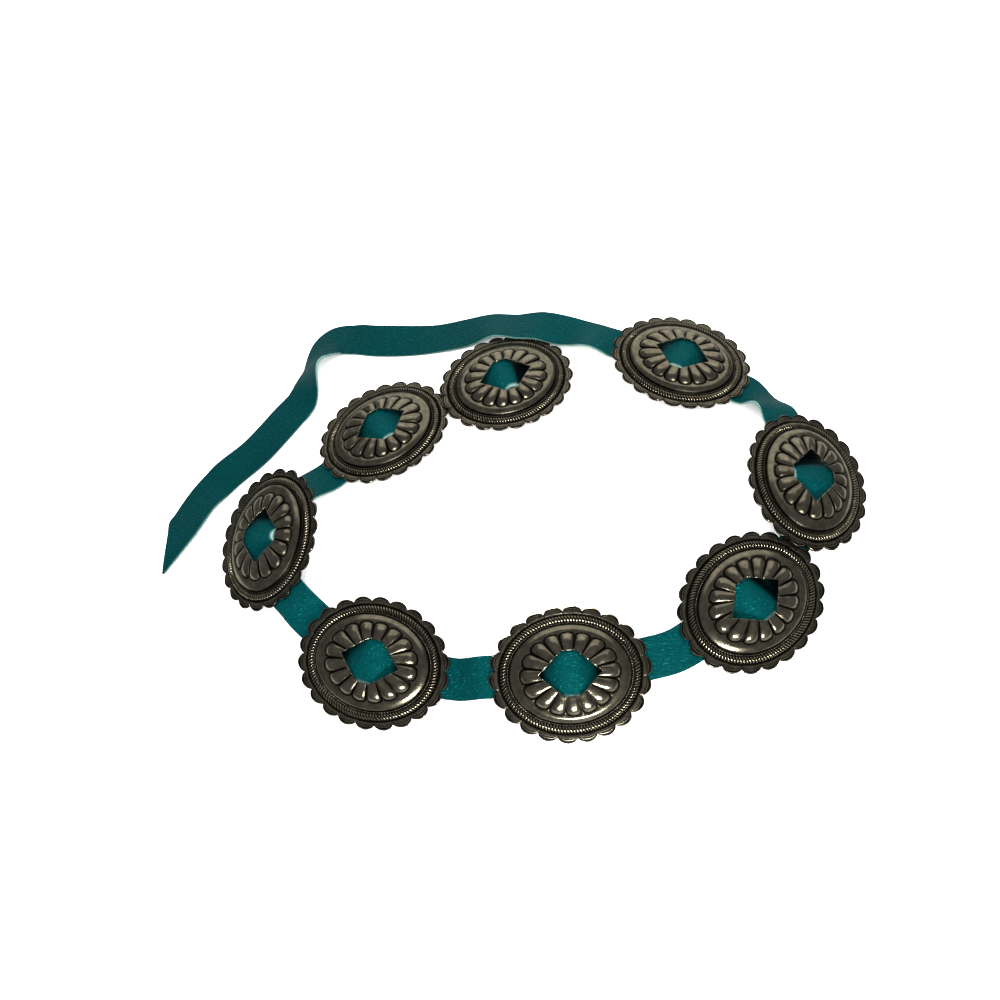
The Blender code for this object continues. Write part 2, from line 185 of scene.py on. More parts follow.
# %% Section of a concho
# share of the oval, height in mm
FRONT_SECTION = [
    # flange and rope
    (1.000, 1.00), (0.900, 1.02), (0.884, 0.98), (0.876, 0.72), (0.866, 0.68), (0.859, 0.92),
    (0.853, 1.66), (0.844, 2.14), (0.830, 2.50), (0.815, 2.68), (0.800, 2.66), (0.789, 2.46),
    (0.780, 2.20), (0.772, 1.98),
    # beads and the step up to the band
    (0.762, 2.12), (0.755, 2.02), (0.750, 1.92), (0.745, 2.40), (0.736, 2.98), (0.724, 3.42),
    # band
    (0.713, 3.68), (0.702, 3.89), (0.684, 4.18), (0.666, 4.42), (0.648, 4.56), (0.630, 4.63),
    (0.612, 4.66), (0.590, 4.74),
    # floor of the petals, up to the window
    (0.566, 5.02), (0.540, 5.42), (0.500, 6.06), (0.470, 6.47), (0.430, 6.87), (0.387, 7.18),
    (0.333, 7.70), (0.290, 8.00), (0.250, 8.10),
]


def curve_through(rows):
    """A smooth curve through the rows that never overshoots between two of them."""
    marks, values = np.array(sorted(rows)).T
    rates = np.diff(values) / np.diff(marks)
    product = rates[:-1] * rates[1:]
    total = np.where(np.abs(rates[:-1] + rates[1:]) < 1e-9, 1.0, rates[:-1] + rates[1:])
    pulls = np.concatenate([rates[:1], np.where(product > 0, 2 * product / total, 0.0), rates[-1:]])

    def at(mark):
        mark = np.clip(mark, marks[0], marks[-1])
        i = np.clip(np.searchsorted(marks, mark) - 1, 0, len(marks) - 2)
        step = marks[i + 1] - marks[i]
        t = (mark - marks[i]) / step
        return (values[i] * (2 * t**3 - 3 * t**2 + 1) + pulls[i] * step * (t**3 - 2 * t**2 + t)
                + values[i + 1] * (3 * t**2 - 2 * t**3) + pulls[i + 1] * step * (t**3 - t**2))

    return at


front_height = curve_through(FRONT_SECTION)
print("height at the window:", round(float(front_height(WINDOW_LONG / HALF_LONG)), 2), "mm")

# %% [markdown]
# Along an oval, equal angles are not equal distances: scallops spaced by angle would crowd
# together at the ends. So the way round the rim is measured once, in small steps, and an angle
# is looked up from the distance travelled.

# %% Even steps round the oval
ARC_STEPS = 2881
arc_angle = np.linspace(0, 2 * math.pi, ARC_STEPS)
arc_speed = np.hypot(HALF_LONG * np.sin(arc_angle), HALF_SHORT * np.cos(arc_angle))
arc_length = np.concatenate([[0], np.cumsum((arc_speed[1:] + arc_speed[:-1]) / 2) * arc_angle[1]])
PERIMETER = arc_length[-1]


def angle_at(fraction):
    """Angle on the oval at a fraction of the way round its rim, also past a whole turn."""
    turns = np.floor(fraction)
    return np.interp((fraction - turns) * PERIMETER, arc_length, arc_angle) + 2 * math.pi * turns


def repeat_round(count, steps):
    """The same uneven steps, repeated for each scallop, strand or petal."""
    return (np.arange(count)[:, None] + np.asarray(steps)[None, :]).ravel() / count


print("round the rim:", round(PERIMETER / MM, 1), "mm")

# %% [markdown]
# A small helper collects rings of points and joins each to the one before. Rings
# with as many points are joined by quads. Where the number changes, at the rope and again
# at the band, triangles close the seam, as a cane weaver would add a strand.
# Every point also carries a number for the patina later on: 1 deep in a recess, 0 on the open
# metal, and less than 0 where the silver is made brighter: rubbed wear, and partly a painted highlight.

# %% Rings and their joining
# The stamped rings are a little rounder than the outline: share along, share across
SHARE_ALONG = (0.0, 0.470, 0.580, 0.618, 0.690, 0.752, 0.812, 0.872, 1.1)
SHARE_ACROSS = (0.0, 0.470, 0.574, 0.612, 0.668, 0.726, 0.805, 0.872, 1.1)


class Skin:
    """One closed skin of rings, in the order in which they are laid."""

    def __init__(self):
        self.points, self.depths, self.faces, self.last = [], [], [], None

    def size(self):
        """How many points have been laid."""
        return sum(len(ring) for ring in self.points)

    def ring(self, share, angle, height, recess):
        """Lay one ring, given by shares of the oval, angles and heights, and join it on."""
        share, height, recess = (np.broadcast_to(v, angle.shape) for v in (share, height, recess))
        start = self.size()
        across = np.interp(share, SHARE_ALONG, SHARE_ACROSS)
        self.points.append(np.stack([share * HALF_LONG * np.cos(angle),
                                     across * HALF_SHORT * np.sin(angle), height * MM], axis=1))
        self.depths.append(recess)
        turned = np.mod(angle, 2 * math.pi)
        order = np.argsort(turned, kind="stable")
        ring = (start + order, turned[order], start + np.arange(len(angle)))
        if self.last is not None:
            self.join(self.last, ring)
        self.last = ring

    def join(self, before, after):
        """Quads between rings of equal count, or else triangles in the order of their angles."""
        if len(before[0]) == len(after[0]):
            a, b = before[2], after[2]
            self.faces += np.stack([a, np.roll(a, -1), np.roll(b, -1), b], axis=1).tolist()
            return
        (a, a_angle, _), (b, b_angle, _) = before, after
        i = j = 0
        while i < len(a) or j < len(b):
            next_a = a_angle[i + 1] if i + 1 < len(a) else 2 * math.pi + a_angle[0] + i + 1 - len(a)
            next_b = b_angle[j + 1] if j + 1 < len(b) else 2 * math.pi + b_angle[0] + j + 1 - len(b)
            here_a, here_b = int(a[i % len(a)]), int(b[j % len(b)])
            if j >= len(b) or (i < len(a) and next_a <= next_b):
                self.faces.append((here_a, int(a[(i + 1) % len(a)]), here_b))
                i += 1
            else:
                self.faces.append((here_a, int(b[(j + 1) % len(b)]), here_b))
                j += 1


concho_skin = Skin()
print("rings so far:", len(concho_skin.points))

# %% [markdown]
# ## Scalloped rim
# Each of the 22 scallops is one blow of a curved stamp: a thin raised lip along the outline, a
# dark step inside it, two nested arcs, and a line where it meets its neighbour. The rings run
# from the outline inward and follow the arcs, so that the grooves stay crisp with few points.

# %% Outline of the scallops
SCALLOP_STEPS = [0, .02, .05, .09, .14, .19, .24, .29, .34, .39, .44, .48, .52, .56, .61, .66,
                 .71, .76, .81, .86, .91, .95, .98]
LOBE_ROUND = 0.6
BORDER_WIDE = 0.030
around = repeat_round(SCALLOPS, SCALLOP_STEPS) - 0.5 / SCALLOPS
scallop_along = np.mod(around * SCALLOPS + 0.5, 1.0)
scallop_angle = angle_at(around + SCALLOP_SHIFT / PERIMETER)
lobe = np.sin(math.pi * scallop_along)
outline = 1.0 - SCALLOP_DEPTH * (1.0 - lobe ** LOBE_ROUND)
border_line = np.exp(-(np.minimum(scallop_along, 1 - scallop_along) / BORDER_WIDE) ** 2)
print("outline points:", len(outline))

# %% Rings of the rim
# share inside the outline, height in mm, recess: the cut edge, from the table up
EDGE_ROWS = [(0.007, 0.02, 0.6), (0.0, 0.20, 0.8), (0.0, 0.70, 0.9), (0.003, 0.90, 0.7), (0.009, 1.03, 0.0)]
# part of the way inward, height above the flat in mm, recess
SCALLOP_ROWS = [
    # The lip's recess below 0 makes it brighter: rubbed wear and partly a painted highlight
    (0.085, 0.06, -0.35), (0.13, -0.02, 0.7), (0.18, -0.12, 1.0), (0.25, -0.13, 1.0),
    (0.32, -0.05, 0.7), (0.38, 0.04, 0.2), (0.44, 0.05, 0.1), (0.49, -0.05, 0.8),
    (0.55, -0.05, 0.7), (0.63, 0.02, 0.4), (0.72, 0.04, 0.3), (0.79, 0.0, 0.45),
    (0.86, 0.0, 0.45), (0.93, -0.02, 0.7), (1.0, 0.0, 1.0),
]
RIM_INNER = 0.876
BORDER_DEEP = 0.22
BORDER_DARK = 0.5
for inset, height, recess in EDGE_ROWS:
    concho_skin.ring(outline - inset, scallop_angle, height, recess)
for part, rise, recess in SCALLOP_ROWS:
    share = outline + (RIM_INNER - outline) * part
    line = border_line * (1 - part) ** 0.5
    height = front_height(share) + rise * lobe ** 0.5 - BORDER_DEEP * line
    concho_skin.ring(share, scallop_angle, height, np.minimum(recess + BORDER_DARK * line, 1))
print("rim points:", concho_skin.size())

# %% [markdown]
# ## Rope border
# The rope is a raised bead cut by slanted strokes. A twisted wire could be laid there, but the
# real one is stamped from the same sheet. So its points are slid along the border from ring to
# ring, and every row of points runs along a strand or a gap. The gaps and the two feet of the
# rope are dark with patina, and the tops of the strands are brightened: rubbed wear, and partly
# a painted highlight.

# %% Rope
ROPE_OUTER = 0.864
ROPE_INNER = 0.771
ROPE_MIDDLE = 0.82
STRAND_SLANT = 1.5 * MM
STRAND_GAP = 1.05
STRAND_STEPS = (0, 0.15, 0.24, 0.30, 0.5, 0.70, 0.76, 0.85)
STRAND_ROUND = (0, 0.08, 0.66, 0.92, 1, 0.92, 0.66, 0.08, 0)
ROPE_PARTS = (0.0, 0.04, 0.09, 0.16, 0.25, 0.36, 0.48, 0.60, 0.72, 0.83, 0.91, 0.96, 1.0)
# Recess in a gap and on a strand's top, where it is below 0: the top is brightened as rubbed wear
# and partly as a painted highlight. Strands are full high a little way in from the ends
GAP_DARK = 1.70
TOP_WEAR_AND_HIGHLIGHT = -0.55
END_ROUND = 0.4
END_RISE = 1.3
# The dark feet of the rope: how dark, and over what part of its width
OUTER_FOOT, OUTER_FOOT_WIDE = 0.8, 0.22
INNER_FOOT, INNER_FOOT_WIDE = 0.5, 0.15


def eased(part):
    """A part from 0 to 1 that starts and ends gently."""
    return part * part * (3 - 2 * part)


around = repeat_round(STRANDS, STRAND_STEPS)
strand_round = np.interp(np.mod(around * STRANDS, 1.0), STRAND_STEPS + (1,), STRAND_ROUND)
slant = STRAND_SLANT / (PERIMETER * ROPE_MIDDLE)
for part in ROPE_PARTS:
    share = ROPE_OUTER + (ROPE_INNER - ROPE_OUTER) * part
    ends = math.sin(math.pi * part) ** END_ROUND if 0 < part < 1 else 0.0
    gap = STRAND_GAP * (1 - strand_round) * ends
    crest = strand_round * min(1.0, ends * END_RISE)
    # A strand's top gets a recess below 0: rubbed wear and partly a painted highlight
    recess = np.clip(GAP_DARK + (TOP_WEAR_AND_HIGHLIGHT - GAP_DARK) * crest, TOP_WEAR_AND_HIGHLIGHT, 1)
    feet = (OUTER_FOOT * max(0.0, 1 - part / OUTER_FOOT_WIDE)
            + INNER_FOOT * max(0.0, part - (1 - INNER_FOOT_WIDE)) / INNER_FOOT_WIDE)
    concho_skin.ring(share, angle_at(around - slant * (eased(part) - 0.5)), front_height(share) - gap,
                     np.minimum(1, recess + feet))
print("rope strands:", STRANDS)

# %% [markdown]
# Just inside the rope lies a narrow strip of tiny beads. They are as many as the strands, so
# the same row of points serves both.

# %% Beads
# share of the oval, height of a bead in mm, recess
BEAD_ROWS = [(0.769, 0.02, 0.9), (0.765, 0.10, 0.5), (0.761, 0.11, 0.45), (0.757, 0.05, 0.7)]
bead_angle = angle_at(around - slant * 0.5)
for share, rise, recess in BEAD_ROWS:
    concho_skin.ring(share, bead_angle, front_height(share) + rise * (2 * strand_round - 1), recess)
print("with rope and beads:", concho_skin.size())

# %% [markdown]
# ## Band and petals
# Inside a dark step, the polished band swells up to the petals. The petals are half-round
# flutes with bulbous ends, one on each axis of the oval. Their rings are bent to follow the
# round ends, and their spokes bunch up in the grooves, which stay sharp that way. The band has
# the same spokes, so that no seam crosses its mirror-like curve.

# %% Spokes of the petals
GROOVE_SIDE = 0.88
PETAL_HEEL = 0.543
PETAL_BULB = 0.058
PETAL_STEPS = [0, 0.03, 0.058, 0.063, 0.075, 0.10, 0.135, 0.18, 0.235, 0.30, 0.37, 0.44, 0.5, 0.56,
               0.63, 0.70, 0.765, 0.82, 0.865, 0.90, 0.925, 0.937, 0.942, 0.97]
petal_turn = repeat_round(PETALS, PETAL_STEPS) - 0.5 / PETALS
petal_angle = angle_at(petal_turn)
petal_across = 2 * np.mod(petal_turn * PETALS + 0.5 + 1e-9, 1.0) - 1
petal_round = np.sqrt(np.maximum(0, 1 - (petal_across / GROOVE_SIDE) ** 2))
petal_tip = PETAL_HEEL + PETAL_BULB * np.sqrt(np.maximum(0, 1 - np.abs(petal_across) ** 2))
print("spokes:", len(petal_turn))

# %% Band
# share of the oval, recess
BAND_ROWS = [
    (0.754, 0.9), (0.751, 1.0), (0.749, 1.0), (0.746, 1.0), (0.742, 0.95), (0.737, 0.8),
    (0.731, 0.6), (0.724, 0.35), (0.715, 0.15), (0.706, 0.0), (0.696, 0.0), (0.685, 0.0),
    (0.674, 0.0), (0.662, 0.0), (0.651, 0.0),
]
# The ditch round the petals' tips: distances from them, its width and depth in mm, its recess
DITCH_ROWS = (1.60, 1.15, 0.85, 0.62, 0.42, 0.22, 0.06)
DITCH_WIDE = 0.80
DITCH_DEEP = 0.16
DITCH_DARK = 1.3
for share, recess in BAND_ROWS:
    concho_skin.ring(share, petal_angle, front_height(share), recess)
for away in DITCH_ROWS:
    share = petal_tip + away * MM / MEAN_HALF
    ditch = math.exp(-(away / DITCH_WIDE) ** 2)
    concho_skin.ring(share, petal_angle, front_height(share) - DITCH_DEEP * ditch,
                     min(1.0, DITCH_DARK * ditch))
print("with the band:", concho_skin.size())

# %% [markdown]
# The window's straight sides cut the petals off. Each spoke ends where it meets the diamond,
# whose points above and below are cut flat.

# %% Petals
WINDOW_POINT = WINDOW_SHORT / (1 - WINDOW_CAP / WINDOW_LONG)
PETAL_PARTS = (1.0, 0.993, 0.98, 0.96, 0.93, 0.89, 0.84, 0.78, 0.71, 0.63, 0.54, 0.45, 0.36, 0.27,
               0.18, 0.10, 0.04, 0.012, 0.0)
# part of the way from the window to the tip, height of the flute in mm
PETAL_SWELL = [(0.0, 0.34), (0.25, 0.74), (0.5, 1.12), (0.72, 1.50), (0.86, 1.66), (1.0, 1.66)]
BULB_FROM = 0.72
# Recess in a groove, its fall toward a flute's crest and the crest's own, which is below 0: the
# crest is brightened as rubbed wear and partly as a painted highlight. The least fall is at a tip
GROOVE_DARK = 1.15
GROOVE_FADE = 1.45
PETAL_WEAR_AND_HIGHLIGHT = -0.25
TIP_FADE = 0.5
# At the window the flutes are pressed down a little, and polished by the strap
LIP_DEEP, LIP_RUN = 0.06, 0.01
POLISH_RUN = 0.03


def window_share(angle):
    """Share of the oval at which a spoke leaves the window: a diamond with two corners cut."""
    along, across = HALF_LONG * np.abs(np.cos(angle)), HALF_SHORT * np.abs(np.sin(angle))
    side = 1 / (along / WINDOW_LONG + across / WINDOW_POINT)
    return np.where(across * side > WINDOW_SHORT, WINDOW_SHORT / np.maximum(across, 1e-9), side)


petal_swell = curve_through(PETAL_SWELL)
window_edge = window_share(petal_angle)
for part in PETAL_PARTS:
    share = window_edge + (petal_tip - window_edge) * part
    end = math.sqrt(max(0.0, 1 - (max(0.0, part - BULB_FROM) / (1 - BULB_FROM)) ** 2))
    swell = petal_swell(part) * petal_round * end
    lip = LIP_DEEP * math.exp(-part / LIP_RUN)
    # A crest's recess below 0 brightens it: rubbed wear and partly a painted highlight
    recess = np.clip(GROOVE_DARK - GROOVE_FADE * petal_round * max(end, TIP_FADE), PETAL_WEAR_AND_HIGHLIGHT, 1)
    concho_skin.ring(share, petal_angle, front_height(share) + swell - lip,
                     recess * (1 - math.exp(-part / POLISH_RUN)))
print("with petals:", concho_skin.size())

# %% [markdown]
# ## Window and back
# The window's cut edge is a thin bright line, and the back is a plain dish. Both close the
# skin, so that the silver has its real thickness from every side.

# %% Window edge and back
# The cut edge: how far it is filed back, and how far its top and its foot stand off, in mm
EDGE_EASE = 0.003
EDGE_TOP = 0.16
EDGE_FOOT = 0.15
BACK_POINTS = 96
BACK_RECESS = 0.6
# share of the oval, height in mm
BACK_ROWS = [(0.47, 5.0), (0.61, 3.29), (0.69, 2.15), (0.79, 0.91), (0.83, 0.40), (0.86, 0.03), (0.90, 0.0)]
window_height = front_height(window_edge)
edge_top = window_height + petal_swell(0.0) * petal_round - EDGE_TOP
concho_skin.ring(window_edge - EDGE_EASE, petal_angle, edge_top, 0.35)
concho_skin.ring(window_edge - EDGE_EASE, petal_angle, window_height - SHEET_MM + EDGE_FOOT, 0.1)
back_angle = np.arange(BACK_POINTS) * 2 * math.pi / BACK_POINTS
back_window = window_share(back_angle)
concho_skin.ring(back_window, back_angle, front_height(back_window) - SHEET_MM, 0.5)
for share, height in BACK_ROWS:
    concho_skin.ring(share, back_angle, height, BACK_RECESS)
rim_start = np.arange(len(scallop_angle))
concho_skin.join(concho_skin.last, (rim_start, scallop_angle, rim_start))
print("concho faces:", len(concho_skin.faces))

# %% [markdown]
# ## Crossbar
# Behind the window a bar is soldered across, and the strap runs over it. It is a low staple
# with two legs. A bevel on its outline in bmesh eases its edges, as a file would.

# %% Crossbar
BAR_WIDE = 4.0
BAR_THICK = 1.4
BAR_TOP = 3.0
LEG_THICK = 1.6
LEG_TOP = 6.2
LEG_OUT = 2.6
BAR_EASE = 0.3 * MM


def solder_bar():
    """Points and faces of the staple: its side view, closed across the bar's width."""
    inner = WINDOW_SHORT / MM + LEG_OUT
    outer = inner + LEG_THICK
    low = BAR_TOP - BAR_THICK
    side = [(-outer, LEG_TOP), (-outer, low), (outer, low), (outer, LEG_TOP), (inner, LEG_TOP),
            (inner, BAR_TOP), (-inner, BAR_TOP), (-inner, LEG_TOP)]
    bar = bmesh.new()
    near, far = ([bar.verts.new((x * MM, y * MM, z * MM)) for y, z in side]
                 for x in (-BAR_WIDE / 2, BAR_WIDE / 2))
    bar.faces.new(near)
    bar.faces.new(list(reversed(far)))
    for k in range(len(side)):
        after = (k + 1) % len(side)
        bar.faces.new((near[k], far[k], far[after], near[after]))
    bmesh.ops.bevel(bar, geom=bar.edges[:], offset=BAR_EASE, segments=2, affect="EDGES")
    bmesh.ops.recalc_face_normals(bar, faces=bar.faces)
    bar.verts.index_update()
    points = [tuple(vert.co) for vert in bar.verts]
    faces = [tuple(vert.index for vert in face.verts) for face in bar.faces]
    bar.free()
    return points, faces


bar_points, bar_faces = solder_bar()
print("bar faces:", len(bar_faces))

# %% [markdown]
# The rings become one mesh, used eight times. Its crossbar is part of it, because the two are
# soldered. Edges bent by more than 50 degrees are marked sharp, and all others are shaded
# smooth. The recess numbers go along as an attribute that the silver can read.

# %% Concho mesh
bar_start = concho_skin.size()
all_points = np.concatenate(concho_skin.points).tolist() + bar_points
all_faces = concho_skin.faces + [tuple(bar_start + k for k in face) for face in bar_faces]
concho_mesh = bpy.data.meshes.new("silver_concho")
concho_mesh.from_pydata(all_points, [], all_faces)
recess_layer = concho_mesh.attributes.new("recess", "FLOAT", "POINT")
depths = np.concatenate(concho_skin.depths + [np.full(len(bar_points), BACK_RECESS)])
recess_layer.data.foreach_set("value", depths.astype(np.float32))
concho_mesh.shade_smooth()
concho_mesh.set_sharp_from_angle(angle=math.radians(50))
concho_mesh.validate()
print("triangles in a concho:", sum(len(face) - 2 for face in all_faces))

# %% [markdown]
# ## Laying the conchos down
# Each row of the table is where one concho lies: its middle, the way of the strap
# through it, its lean outward and its nose down. They are the same numbers as in the packed
# model, so each silver piece lies exactly in its solid. Eight objects could share one mesh, but
# here each copy is turned into place itself, so that its measured box is exact.

# %% Eight conchos
# node, x mm, y mm, z mm, heading deg, lean deg, nose deg
LAYOUT = [
    ("concho_1", 21.6, 66.7, 4.925, -173.8, 1.4, -2.8),
    ("concho_2", -54.8, 55.6, 4.007, -162.3, 5.4, 0.3),
    ("concho_3", -126.6, 2.2, 12.344, -112.7, 19.4, 8.7),
    ("concho_4", -82.5, -78.3, 6.428, -31.0, 10.0, 2.8),
    ("concho_5", 12.4, -109.3, 7.708, -10.0, 13.3, 1.9),
    ("concho_6", 108.8, -97.0, 6.829, 24.2, 11.9, 0.8),
    ("concho_7", 158.6, -43.3, 9.662, 71.7, 15.6, 1.7),
    ("concho_8", 120.9, 47.9, 8.481, 141.2, 7.4, -1.2),
]
conchos, places = [], {}
for node, x, y, z, heading, lean, nose in LAYOUT:
    places[node] = (Matrix.Translation((x * MM, y * MM, z * MM))
                    @ Matrix.Rotation(math.radians(heading), 4, "Z")
                    @ Matrix.Rotation(math.radians(lean), 4, "X")
                    @ Matrix.Rotation(math.radians(nose), 4, "Y"))
    silver = concho_mesh.copy()
    silver.name = "silver_" + node
    silver.transform(places[node])
    concho = bpy.data.objects.new("silver_" + node, silver)
    bpy.context.scene.collection.objects.link(concho)
    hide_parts(node)
    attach(concho, "root")
    conchos.append(concho)
print("conchos laid down:", len(conchos))

# %% [markdown]
# ## Strap
# The real strap is one strip cut from a side of grain leather: dyed on the grain side, pale
# and raw along its cut edges, and suede behind. A curve with a flat bevel could carry it, but
# its twist would be hard to steer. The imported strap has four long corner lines, and walking
# along them gives the strap's path with every twist.

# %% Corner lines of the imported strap
def corner_lines(node):
    """The strap's corners as lines from its hidden end to its tip, in the order of their places
    round the strap: top left, top right, bottom right, bottom left."""
    strip = bmesh.new()
    strip.from_mesh(node.data)
    bmesh.ops.remove_doubles(strip, verts=strip.verts, dist=2e-6)
    tip = min(strip.verts, key=lambda vert: vert.co.x)
    ring = sorted(strip.verts, key=lambda vert: (vert.co - tip.co).length)[:4]
    seen, rings = set(ring), [sorted(ring, key=lambda vert: vert.co.z)]
    while len(ring) == 4:
        ring = {edge.other_vert(vert) for vert in ring for edge in vert.link_edges} - seen
        seen |= ring
        if len(ring) == 4:
            rings.append(min(permutations(ring), key=lambda order: sum(
                (here.co - before.co).length for here, before in zip(order, rings[-1]))))
    lines = np.array([[vert.co[:] for vert in ring] for ring in reversed(rings)]).transpose(1, 0, 2)
    strip.free()
    low, high = lines[:2], lines[2:]
    ahead = lines[0][1] - lines[0][0]
    left = np.array([-ahead[1], ahead[0], 0])
    low, high = (sorted(pair, key=lambda line: -line[0] @ left) for pair in (low, high))
    return np.array([high[0], high[1], low[1], low[0]])


corners = corner_lines(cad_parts["strap"])
print("corner lines:", corners.shape[0], "with", corners.shape[1], "points each")

# %% [markdown]
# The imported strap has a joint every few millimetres, which would show as facets. The four lines
# are read again as smooth curves, about every millimetre, and turned into a middle line, a half
# width and a half thickness at each mark.

# %% Smooth lines
STRAP_STEP = 1.1 * MM
# Where the free end turns, its inner edge is eased outward into one smooth curve
BEND_MARK = 0.9370
BEND_RUN = 0.0120
BEND_EASE = np.array((-1.2, -4.0, -1.9)) * MM


def resample(line, marks, wanted):
    """Points of a smooth curve through a line, at the wanted distances."""
    rates = np.diff(line, axis=0) / np.diff(marks)[:, None]
    left, right = np.diff(marks)[:-1, None], np.diff(marks)[1:, None]
    pulls = np.concatenate([rates[:1], (rates[:-1] * right + rates[1:] * left) / (left + right), rates[-1:]])
    i = np.clip(np.searchsorted(marks, wanted) - 1, 0, len(marks) - 2)
    step = (marks[i + 1] - marks[i])[:, None]
    t = (wanted - marks[i])[:, None] / step
    return (line[i] * (2 * t**3 - 3 * t**2 + 1) + pulls[i] * step * (t**3 - 2 * t**2 + t)
            + line[i + 1] * (3 * t**2 - 2 * t**3) + pulls[i + 1] * step * (t**3 - t**2))


middle = corners.mean(axis=0)
travelled = np.concatenate([[0], np.cumsum(np.linalg.norm(np.diff(middle, axis=0), axis=1))])
strap_marks = np.linspace(0, travelled[-1], round(travelled[-1] / STRAP_STEP) + 1)
top_left, top_right, low_right, low_left = (resample(line, travelled, strap_marks) for line in corners)
ease = np.exp(-((strap_marks - BEND_MARK) / BEND_RUN) ** 2)[:, None] * BEND_EASE
top_left, low_left = top_left + ease, low_left + ease
across = (top_right - top_left + low_right - low_left) / 4
up = (top_left - low_left + top_right - low_right) / 4
centre = (top_left + top_right + low_left + low_right) / 4
print("strap length:", round(travelled[-1], 3), "m")

# %% [markdown]
# Real leather gives way. Where one rim lies on the next, the strap below is gathered, and it
# would show beside the rims if it weren't. Low between the conchos, less light reaches the
# leather, so it starts a little darker there.

# %% Gathered and shaded leather
# x and y in mm of the places where two rims lie on each other
GATHERED_AT = ((136, -68), (-16, 61))
GATHER_REACH = 11 * MM
GATHER = 0.38
LOW_SHADE = 0.30
LOW_FROM = 9.0
LOW_RUN = 7.0
for x, y in GATHERED_AT:
    squeeze = np.exp(-((centre[:, 0] - x * MM) ** 2 + (centre[:, 1] - y * MM) ** 2) / GATHER_REACH ** 2)
    across *= 1 - GATHER * squeeze[:, None]
shade = LOW_SHADE * np.clip((LOW_FROM - centre[:, 2] / MM) / LOW_RUN, 0, 1)
print("darkest between the conchos:", round(float(shade.max()), 2))

# %% [markdown]
# In each window the strap climbs over the crossbar and dives below the silver again. There it
# arches, spreads a little, its near edge is pulled in and frayed pale, and both ends sink into
# the dark. A light could make that dark, but the gap is under a millimetre wide, so it is painted
# by depth: a number for each point, from 0 in the open to 1 under the silver.

# %% Over the crossbars
# One row for each window. Near edge: how far it is pulled in, where along the concho and over
# what length, in mm. Drops below the bar in mm between which the leather turns dark, on the
# way in and on the way out. How raw the near edge is, and on which side of the strap it lies.
OVER_BAR = [
    ("concho_1", -1.0, -2.5, 7, (0.6, 2.2), (2.4, 4.8), 1.0, "left"),
    ("concho_2", -0.5, 0.0, 8, (2.4, 5.2), (2.4, 5.2), 0.8, "left"),
    ("concho_3", -1.3, 0.0, 8, (2.4, 4.4), (2.8, 5.4), 1.0, "left"),
    ("concho_4", 0.25, 0.0, 8, (2.4, 5.2), (2.4, 5.2), 0.45, "right"),
    ("concho_5", 0.25, 0.0, 8, (2.8, 5.4), (2.8, 5.4), 0.5, "right"),
    ("concho_6", 0.2, 0.0, 8, (3.0, 5.6), (1.9, 4.6), 0.5, "right"),
    ("concho_7", 0.0, 0.0, 8, (3.0, 5.6), (2.2, 4.0), 0.7, "left"),
    ("concho_8", -0.5, 0.0, 8, (2.4, 5.2), (2.4, 5.2), 0.8, "left"),
]
OVER_BAR_HEIGHT = 4.8 * MM
# A mark is in a window if it is this near to the concho's middle: along, across and up
WINDOW_ROOM = (0.65 * HALF_LONG, 0.25 * HALF_SHORT, 9 * MM)
SPREAD_RUN = 13 * MM
SPREAD = 0.045
RAW_RUN = 4.5 * MM
RAW_FULL = 1.6


def hump(distance, run):
    """A round hump: 1 in the middle, and 0 at the run's two ends and beyond."""
    return 0.5 + 0.5 * np.cos(math.pi * np.clip(distance / run, -1, 1))


arch = np.zeros(len(centre))
raw_edge = {"left": np.zeros(len(centre)), "right": np.zeros(len(centre))}
for node, pull, pull_at, pull_run, way_in, way_out, rawness, near_side in OVER_BAR:
    axes = np.array(places[node].to_3x3())
    local = (centre - np.array(places[node].translation)) @ axes
    x, y, z = local.T
    inside = (np.abs(local) < WINDOW_ROOM).all(axis=1)
    wide = np.where(inside, hump(x, SPREAD_RUN), 0)
    across *= 1 + SPREAD * wide[:, None]
    arch = np.maximum(arch, wide)
    pulled = np.where(inside, hump(x - pull_at * MM, pull_run * MM), 0) * pull * MM
    centre += axes[:, 1] * pulled[:, None]
    low, high = np.where((x < 0)[:, None], way_in, way_out).T * MM
    dark = np.clip((OVER_BAR_HEIGHT - z - low) / (high - low), 0, 1)
    shade = np.maximum(shade, np.where(inside, eased(dark), 0))
    bare = np.clip(RAW_FULL - np.abs(x - pull_at * MM) / RAW_RUN, 0, 1)
    raw_edge[near_side] += np.where(inside, bare, 0) * rawness
print("marks over the crossbars:", int((arch > 0).sum()))

# %% [markdown]
# The section is a flat rectangle with rounded corners, laid out once and then stretched to the
# strap's width and thickness at each mark. The grain side, the cut edges and the back get a
# material each, so every row of points knows its finish.

# %% Section of the strap
GRAIN, CUT, SUEDE = 0, 1, 2
EDGE_ROUND = 0.38 * MM
TOP_RUN = 22
BACK_RUN = 10
CORNER_POINTS = 4


def strap_section():
    """Rows round the section: across (-1 left to 1 right), up (-1 to 1), how far the rounding
    moves the row across and up (in roundings), and its finish."""
    quarter = np.linspace(0, math.pi / 2, CORNER_POINTS)
    rows = [(-1 + 2 * k / TOP_RUN, 1.0, 0.0, 0.0, GRAIN) for k in range(1, TOP_RUN)]
    rows += [(1.0, 1.0, math.sin(a) - 1, math.cos(a) - 1, GRAIN) for a in quarter]
    rows += [(1.0, -1.0, math.cos(a) - 1, 1 - math.sin(a), CUT) for a in quarter]
    rows += [(1 - 2 * k / BACK_RUN, -1.0, 0.0, 0.0, SUEDE) for k in range(1, BACK_RUN)]
    rows += [(-1.0, -1.0, 1 - math.sin(a), 1 - math.cos(a), CUT) for a in quarter]
    rows += [(-1.0, 1.0, 1 - math.cos(a), math.sin(a) - 1, GRAIN) for a in quarter]
    return np.array(rows)


section = strap_section()
count = len(section)
print("section points:", count)

